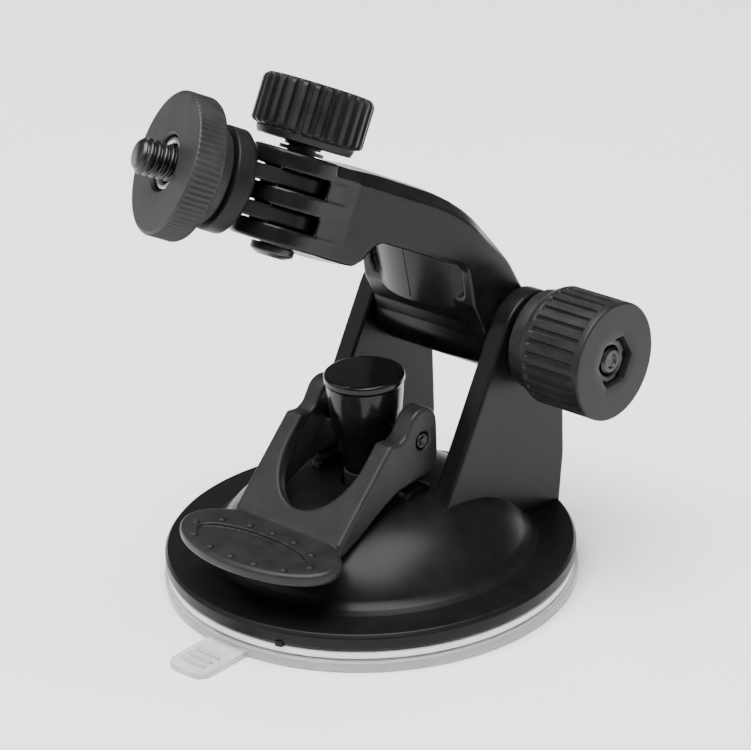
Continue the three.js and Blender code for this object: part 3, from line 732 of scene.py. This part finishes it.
def arm_drum(x, d, e):
    """The convex front wall of the hub, leaning forward."""
    lean = unit(DRUM["lean"])
    nose = DRUM["nose"]
    from_nose = (d - nose[0]) * lean[0] - (e - nose[1]) * lean[1]
    round_front = np.hypot(x, from_nose + DRUM["radius"]) - DRUM["radius"]
    block = polygon([(6.9, 3.6), (14.75, -0.55), (23, 9.5), (23, 15.6), (2, 15.6), (0, 6)], d, e)
    drum = both(both(block, round_front, 0.4), np.abs(x) - arm_half_width(d), 0.5)
    return np.maximum(drum, polygon(arm_side(), d, np.maximum(e, 9)) + 0.2)


def drum_seam():
    """The raised parting line down the middle of the drum."""
    lean = unit(DRUM["lean"])
    start = np.array(DRUM["nose"])
    rings = []
    for run in np.linspace(-2.5, 8.6, 12):
        d, e = start + run * np.array((lean[1], lean[0]))
        ring = circle(0.13, 0, 10)
        out = np.array((lean[0], -lean[1]))
        rings.append(np.stack([ring[:, 0], -(d + out[0] * ring[:, 1]), e + out[1] * ring[:, 1]], 1))
    return loft(rings)


# ---------- adapter, screw and wheel ----------
def adapter_fingers(x, y, e):
    """Two round-ended fingers in the fork's slots, running forward into the disc."""
    back = np.where(y > 0, np.hypot(x, y), np.abs(x)) - PLATE["half"]
    plan = np.maximum(back, -y - PLATE["back"] - 1)
    shape = None
    for k in (-1, 1):
        middle = k * (FORK["finger"] + FORK["slot"]) / 2
        finger = both(plan, np.abs(e - middle) - PLATE["finger"] / 2, 0.3)
        shape = finger if shape is None else np.minimum(shape, finger)
    return np.maximum(shape, FORK["hole"] - np.hypot(x, y))


def adapter_disc():
    back, front, radius = PLATE["back"], PLATE["front"], PLATE["disc"]
    bore = PLATE["bore"]
    return turned([
        (0, back), (radius - 0.9, back, 0.3), (radius, back + 0.9, 0.4), (radius, front, 0.4),
        (bore + 0.3, front, 0.2),
        (bore, front - 0.3), (bore, back + 1.2), (0, back + 1.2),
    ], 128)


def screw_thread():
    """A right-hand thread with a small flat on its crest and a chamfered start."""
    count, per_pitch = 40, 14
    flank, root_share, chamfer = 3.0, 0.2, 0.95
    rings = []
    length = SCREW["tip"] - SCREW["tail"]
    steps = int(length / SCREW["pitch"] * per_pitch)
    angle = np.arange(count) / count
    for i in range(steps + 1):
        z = SCREW["tail"] + length * i / steps
        turn = ((z - SCREW["tail"]) / SCREW["pitch"] - angle) % 1
        tooth = np.clip((0.5 - np.abs(turn - 0.5)) * flank - root_share, 0, 1)
        crest = SCREW["root"] + (SCREW["radius"] - SCREW["root"]) * tooth
        limit = SCREW["radius"] - np.clip(0.9 - (SCREW["tip"] - z), 0, 1) * chamfer
        rings.append(circle(np.minimum(crest, limit), z, count))
    return loft(rings)


def fluted_ring(radius, height, flutes, depth, width, per_flute, roundness=0.5):
    """A circle with narrow grooves. width is a groove's share of its pitch. Low roundness is squarer."""
    phase = (np.arange(flutes * per_flute) / per_flute) % 1 - 0.5
    groove = np.clip(1 - (np.abs(phase) / (width / 2)) ** 2, 0, 1) ** roundness
    return circle(radius - depth * groove, height, flutes * per_flute)


def wheel_body():
    per, knurls = 6, WHEEL["knurls"]
    count = per * knurls
    radius, back, face = WHEEL["radius"], WHEEL["back"], WHEEL["face"]
    rings = [circle(SCREW["radius"] + 0.3, WHEEL["boss_back"], count)]
    rings += [circle(r, z, count) for r, z in filleted(
        [(4, WHEEL["boss_back"]), (WHEEL["boss"], WHEEL["boss_back"], 0.4), (WHEEL["boss"] + 0.3, back, 0.3),
         (radius - 1.2, back, 0.2), (radius - 0.85, back + 0.12)], closed=False)]
    for out, z, depth in ((0.3, back + 0.45, 0.0), (0.0, back + 0.95, 0.22), (0.0, face - 0.5, 0.22),
                          (0.14, face - 0.28, 0.1)):
        rings.append(fluted_ring(radius - out, z, knurls, depth, 0.8, per))
    rings += [circle(r, z, count) for r, z in filleted(
        [(radius - 0.3, face - 0.12), (radius - 0.6, face, 0.2), (WHEEL["bore"] + 0.35, face, 0.2),
         (WHEEL["bore"], face - 0.35, 0.2), (WHEEL["bore"], INSERT["back"] - 0.3),
         (SCREW["radius"] + 0.3, INSERT["back"] - 0.3)],
        closed=False)]
    return loft(rings, closed=True)


def insert_ring():
    bore, radius, back, face = INSERT["bore"], INSERT["radius"], INSERT["back"], INSERT["face"]
    return turned([(bore, back, 0.1), (radius, back, 0.1), (radius, face, 0.3), (bore + 0.35, face, 0.1),
                   (bore, face - 0.35, 0.1)], 72, closed=True)


# ---------- knobs ----------
def hex_pocket(face, depth, count, bore):
    """Rings from a knob's face down a hexagonal pocket to the bolt's hole."""
    angle = np.arange(count) * 2 * math.pi / count
    flats = hexagon(KNOB["hex"], angle)
    floor = face - depth
    return [circle(flats + 0.3, face, count), circle(flats + 0.08, face - 0.08, count),
            circle(flats, face - 0.3, count),
            circle(flats, floor, count), circle(bore, floor, count)]


def tilt_knob_body():
    per, flutes = 14, KNOB["flutes"]
    count = per * flutes
    radius, near, face = KNOB["radius"], KNOB["near"], KNOB["face"]
    bore = TILT_BOLT["radius"] + 0.3
    start = YOKE["outer"] + 1.6
    rings = [circle(bore, start, count)]
    rings += [circle(r, z, count) for r, z in filleted(
        [(3.5, start), (KNOB["collar"], start, 0.3), (KNOB["collar"], near, 0.3), (radius - 1.9, near, 0.3),
         (radius - 0.55, near + 0.7, 0.9), (radius, near + 1.9, 0.9), (radius, near + 2.2)], closed=False)]
    for z, depth in ((near + 2.35, 0.15), (near + 2.7, 0.62), (face - 2.0, 0.62), (face - 1.6, 0.4),
                     (face - 1.4, 0.0)):
        rings.append(fluted_ring(radius, z, flutes, depth, 0.52, per, 0.3))
    rings += [circle(r, z, count) for r, z in filleted(
        [(radius, face - 1.3), (radius, face, 0.45), (KNOB["hex"] / 2 + 2.2, face)], closed=False)]
    rings += hex_pocket(face, KNOB["hex_depth"], count, bore)
    return loft(rings, closed=True)


def fork_knob_body():
    per, ribs = 16, FORK_KNOB["ribs"]
    count = per * ribs
    radius, low, top = FORK_KNOB["radius"], FORK_KNOB["low"], FORK_KNOB["top"]
    bore, neck_low = FORK["bolt"] + 0.3, FORK["top"] + 1.15
    rings = [circle(bore, neck_low, count)]
    rings += [circle(r, z, count) for r, z in filleted(
        [(2.9, neck_low), (FORK_KNOB["neck"], neck_low, 0.1),
         (FORK_KNOB["neck"], FORK_KNOB["collar_low"], 0.3),
         (FORK_KNOB["collar"], FORK_KNOB["collar_low"], 0.25), (FORK_KNOB["collar"] + 0.45, low - 0.3, 0.2),
         (radius - 1.25, low - 0.1)], closed=False)]
    for out, z, depth in ((1.0, low + 0.05, 0.0), (0.35, low + 0.25, 0.5), (0.0, low + 0.7, 0.95),
                          (0.0, top - 1.1, 0.95),
                          (0.28, top - 0.55, 0.7), (0.75, top - 0.15, 0.25)):
        rings.append(fluted_ring(radius - out, z, ribs, depth, 0.58, per, 0.25))
    top_edge = ((radius - 1.05, top - 0.03), (radius - 1.4, top), (KNOB["hex"] / 2 + 2, top))
    rings += [circle(r, z, count) for r, z in top_edge]
    rings += hex_pocket(top, KNOB["hex_depth"], count, bore)
    return loft(rings, closed=True)


def nut(low, high, bore):
    """A hexagonal nut whose corners are chamfered by a cone."""
    count = 72
    angle = np.arange(count) * 2 * math.pi / count
    flats = hexagon(KNOB["hex"] - 0.6, angle)
    cone = np.full(count, (KNOB["hex"] - 0.6) / 2)
    rings = [circle(bore, low, count), circle(np.minimum(flats, cone + 0.1), low, count),
             circle(flats, low + 0.25, count),
             circle(flats, high - 0.3, count), circle(np.minimum(flats, cone + 0.1), high, count),
             circle(bore + 0.25, high, count), circle(bore, high - 0.25, count)]
    return loft(rings, closed=True)


def washer(bore, radius, low, high):
    return turned([(bore, low, 0.1), (radius, low, 0.15), (radius, high, 0.15), (bore, high, 0.1)], 72,
                  closed=True)


# ---------- bolts, post, stem, spring ----------
def tilt_bolt_body():
    face = -YOKE["outer"] - 0.3
    head, shank = TILT_BOLT["head"], TILT_BOLT["radius"]
    tip = KNOB["face"] - 0.7
    return turned([
        (0, face - 2.6), (head * 0.35, face - 2.58), (head * 0.75, face - 2.05, 2), (head, face - 0.9, 0.6),
        (head, face, 0.2),
        (shank, face), (shank, tip - 0.5, 0.2), (shank - 0.5, tip, 0.1), (1.35, tip, 0.1),
        (1.15, tip - 0.35, 0.1), (0, tip - 0.4),
    ], 96)


def fork_bolt_body():
    low, top, radius, shank = FORK_HEAD["low"], FORK_HEAD["top"], FORK_HEAD["radius"], FORK["bolt"]
    tip = FORK_KNOB["top"] - 0.5
    return turned([
        (0, low + 0.5), (1.2, low + 0.5, 0.1), (1.45, low + 0.1, 0.15), (radius * 0.6, low, 0.4),
        (radius, low + 0.7, 0.5),
        (radius, top, 0.15), (shank, top), (shank, tip - 0.4, 0.2), (shank - 0.4, tip, 0.1), (0, tip),
    ], 96)


def post_body():
    return turned([
        (0, POST["bottom"]), (POST["waist"], POST["bottom"], 0.3), *POST["cup"],
        (POST["lip"] - 0.2, POST["lip_low"] - 0.4, 1), (POST["lip"], POST["lip_low"], 0.3),
        (POST["lip"], POST["top"], 0.7), (POST["lip"] - 1.6, POST["top"] + 0.02, 2), (0, POST["top"] + 0.04),
    ], 144, steps=6)


def stem_body():
    return turned([
        (0, STEM["low"]), (STEM["disc"], STEM["low"], 0.3), (STEM["disc"], STEM["high"], 0.3),
        (STEM["shaft"], STEM["high"], 0.8),
        (STEM["shaft"], STEM["shaft_top"], 0.3), (STEM["neck"], STEM["shaft_top"], 0.2),
        (STEM["neck"], STEM["neck_top"], 0.3),
        (0, STEM["neck_top"]),
    ], 72)


def pin_body():
    half = LEVER["half"] - 0.1
    radius = LEVER_PIN["radius"]
    dimple = [(0, 0.22), (0.5, 0.2), (0.75, 0.0), (radius - 0.12, 0.02), (radius, 0.22)]
    low = [(r, -half + d) for r, d in dimple]
    high = [(r, half - d) for r, d in dimple[::-1]]
    return turned(low + high, 40)


def spring_coil():
    count, per_turn = 12, 32
    rings = []
    for i in range(SPRING["turns"] * per_turn + 1):
        share = i / (SPRING["turns"] * per_turn)
        angle = share * SPRING["turns"] * 2 * math.pi
        out = np.array((math.cos(angle), math.sin(angle), 0))
        height = SPRING["low"] + share * (SPRING["high"] - SPRING["low"])
        middle = out * SPRING["radius"] + np.array((0, 0, height))
        ring = circle(SPRING["wire"], 0, count)
        rings.append(middle + ring[:, :1] * out + ring[:, 1:2] * np.array((0, 0, 1.0)))
    return loft(rings[::-1])


# ---------- building ----------
def build_cup():
    piece("protective_cover", joined(cover_disc(), cover_tab()), ROW, "cup", FILM, crisp=True)
    pad = piece("suction_pad", pad_disc(), ROW, "cup", GEL)
    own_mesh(pad)
    plates = surface(uprights, (-19, -7.5, 5.5), (19, 36, 52), 0.32)
    piece("cup_base", joined(cup_shell(), plates, flange_nub()), ROW, "cup", GLOSS)
    piece("return_spring", spring_coil(), ROW, "cup", STEEL)
    across = Matrix.Translation((0, PIVOT.y, PIVOT.z)) @ along("X")
    piece("tilt_bolt", tilt_bolt_body(), across, "cup", BLACK_STEEL, crisp=True)
    ring = washer(TILT_BOLT["radius"] + 0.3, TILT_BOLT["washer"], YOKE["outer"] + 0.3, YOKE["outer"] + 1.3)
    piece("tilt_washer", ring, across, "cup", BLACK_STEEL, crisp=True)
    piece("tilt_knob", tilt_knob_body(), across, "tilt_knob", KNOB_BLACK, crisp=True)
    hex_nut = nut(KNOB["face"] - KNOB["hex_depth"] + 0.3, KNOB["face"] - 1.2, TILT_BOLT["radius"] + 0.25)
    piece("tilt_knob_nut", hex_nut, across, "tilt_knob", BLACK_STEEL, crisp=True)


def build_stem():
    piece("stem_insert", stem_body(), ROW, "stem", SATIN, crisp=True)
    piece("release_post", post_body(), ROW, "stem", POST_GLOSS)
    pin_place = Matrix.Translation((0, LEVER_PIN["y"], LEVER_PIN["z"])) @ along("X")
    piece("lever_pin", pin_body(), pin_place, "stem", BLACK_STEEL, crisp=True)
    blank = surface(lever_shape, (-19, -38.5, 13.5), (19, 7, 37), 0.27)
    piece("release_lever", joined(blank, *pips()), ROW, "lever", SATIN)


def build_arm():
    shell = surface(arm_shape, (-14.5, -65, -9), (14.5, 9, 20), 0.34)
    piece("arm", joined(shell, drum_seam()), ARM, "arm", ARM_GLOSS)
    at_fork = ARM @ Matrix.Translation((0, -REACH, 0))
    piece("fork_bolt", fork_bolt_body(), at_fork, "arm", BLACK_STEEL, crisp=True)
    ring = washer(FORK["hole"], FORK_WASHER["radius"], FORK_WASHER["low"], FORK_WASHER["top"])
    piece("fork_washer", ring, at_fork, "arm", BLACK_STEEL, crisp=True)
    piece("fork_knob", fork_knob_body(), at_fork, "fork_knob", KNOB_BLACK, crisp=True)
    hex_nut = nut(FORK_KNOB["top"] - KNOB["hex_depth"] + 0.3, FORK_KNOB["top"] - 1.2, FORK["bolt"] + 0.25)
    piece("fork_knob_nut", hex_nut, at_fork, "fork_knob", BLACK_STEEL, crisp=True)


def build_adapter():
    forward = along("-Y")
    fingers = surface(adapter_fingers, (-7, -13, -6), (7, 7, 6), 0.28)
    plate = joined(fingers, moved(adapter_disc(), forward))
    piece("camera_adapter", plate, ADAPTER, "adapter", ADAPTER_BLACK)
    piece("camera_screw", screw_thread(), ADAPTER @ forward, "adapter", BLACK_STEEL)
    piece("lock_wheel", wheel_body(), ADAPTER @ forward, "lock_wheel", WHEEL_GREY, crisp=True)
    piece("wheel_insert", insert_ring(), ADAPTER @ forward, "lock_wheel", STEEL, crisp=True)


# ---------- camera, light and floor ----------
AIM = Vector((1.31, 1.58, 38.92)) * MM
DISTANCE = 554.1 * MM
AZIMUTH, ELEVATION, ROLL = 42.80, 24.546, -2.16
LENS = 149.1


def direction(azimuth, elevation):
    """Away from the object, both in radians. Azimuth 0 is on the -Y side."""
    flat = math.cos(elevation)
    return Vector((math.sin(azimuth) * flat, -math.cos(azimuth) * flat, math.sin(elevation)))


def build_camera():
    azimuth, elevation, roll = (math.radians(a) for a in (AZIMUTH, ELEVATION, ROLL))
    back = direction(azimuth, elevation)
    right = Vector((math.cos(azimuth), math.sin(azimuth), 0))
    up = back.cross(right)
    rolled_right = right * math.cos(roll) + up * math.sin(roll)
    rolled_up = up * math.cos(roll) - right * math.sin(roll)
    data = bpy.data.cameras.new("camera")
    data.lens, data.sensor_width = LENS, 36.0
    data.clip_start, data.clip_end = 0.01, 20.0
    camera = bpy.data.objects.new("camera", data)
    turn = Matrix((rolled_right, rolled_up, back)).transposed()
    camera.matrix_world = Matrix.Translation(AIM + back * DISTANCE) @ turn.to_4x4()
    bpy.context.scene.collection.objects.link(camera)
    bpy.context.scene.camera = camera


def softbox(name, azimuth, elevation, distance, width, height, power):
    """An area light facing the object, its angles in degrees."""
    data = bpy.data.lights.new(name, "AREA")
    data.shape, data.size, data.size_y, data.energy = "RECTANGLE", width, height, power
    lamp = bpy.data.objects.new(name, data)
    turn, rise = math.radians(azimuth), math.radians(elevation)
    away = direction(turn, rise)
    lamp.location = AIM + away * distance
    lamp.rotation_mode = "QUATERNION"
    lamp.rotation_quaternion = away.to_track_quat("Z", "Y")
    bpy.context.scene.collection.objects.link(lamp)


def build_studio():
    world = bpy.data.worlds.new("studio")
    world.use_nodes = True
    background = world.node_tree.nodes["Background"]
    background.inputs["Color"].default_value = (0.94, 0.95, 0.96, 1)
    background.inputs["Strength"].default_value = 0.2
    bpy.context.scene.world = world
    softbox("overhead", 20, 80, 1.2, 1.2, 1.2, 52)
    softbox("right_box", 100, 32, 1.1, 1.0, 1.0, 1.6)
    softbox("left_box", -40, 38, 1.1, 1.0, 1.0, 5)
    build_floor()


def build_floor():
    floor_mesh = bpy.data.meshes.new("floor")
    reach, drop = 3.0, 0.0001
    corners = [(-reach, -reach, 0), (reach, -reach, 0), (reach, reach, 0), (-reach, reach, 0)]
    floor_mesh.from_pydata(corners, [], [(0, 1, 2, 3)])
    floor = bpy.data.objects.new("floor", floor_mesh)
    floor.location.z = -drop
    bpy.context.scene.collection.objects.link(floor)
    material, tree, shader, place = nodes_for("floor_paper")
    paper = tinted(tree, noise(tree, place, 60), (0.9, 0.9, 0.9), (0.92, 0.92, 0.92))
    tree.links.new(paper, shader.inputs["Base Color"])
    shader.inputs["Roughness"].default_value = 0.85
    shader.inputs["Specular IOR Level"].default_value = 0.1
    floor_mesh.materials.append(material)


build_camera()
build_studio()
build_cup()
build_stem()
build_arm()
build_adapter()
